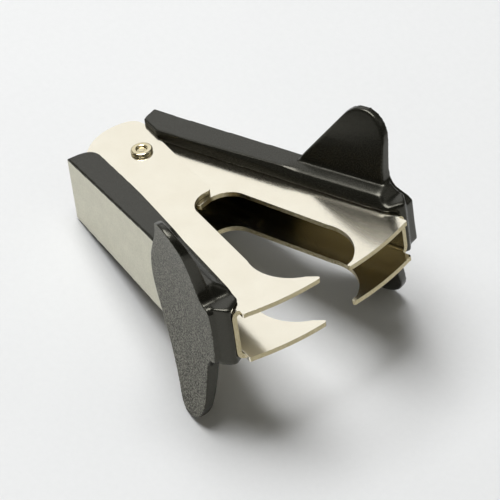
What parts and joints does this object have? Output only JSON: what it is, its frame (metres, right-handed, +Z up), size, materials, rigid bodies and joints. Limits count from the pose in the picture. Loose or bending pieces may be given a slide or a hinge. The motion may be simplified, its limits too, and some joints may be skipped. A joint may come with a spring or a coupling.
{
  "type": "staple remover",
  "caption": "Spring-open staple remover: two nested steel jaws with paired fangs on a rivet, each in a black plastic grip with flared finger wings.",
  "frame": {"origin": "centre of the bounding box on the surface the remover lies on, at rest on its side", "axes": "+X along the bisector of the jaws from the pivot to the fangs, +Y towards the inner jaw, +Z up"},
  "size_m": [0.0627, 0.0484, 0.0394],
  "materials": {
    "nickel_steel": "bright nickel plate, warm tone",
    "black_plastic": "satin black, grained finger pads",
    "rivet_steel": "bright nickel plate",
    "spring_steel": "dark spring wire"
  },
  "bodies": {
    "outer": {"outer_jaw": "nickel_steel", "outer_grip": "black_plastic", "pivot_rivet": "rivet_steel", "torsion_spring": "spring_steel"},
    "inner": {"inner_jaw": "nickel_steel", "inner_grip": "black_plastic"}
  },
  "joints": [
    {"name": "jaw_hinge", "type": "hinge", "parent": "outer", "child": "inner", "pos_m": [-0.02025, 0, 0.00843], "axis": [0.302, 0, -0.9533], "range_deg": [0, 21], "stiffness_Nm_per_rad": 0.2, "springref_deg": -20.05, "deforming": ["torsion_spring"]}
  ]
}
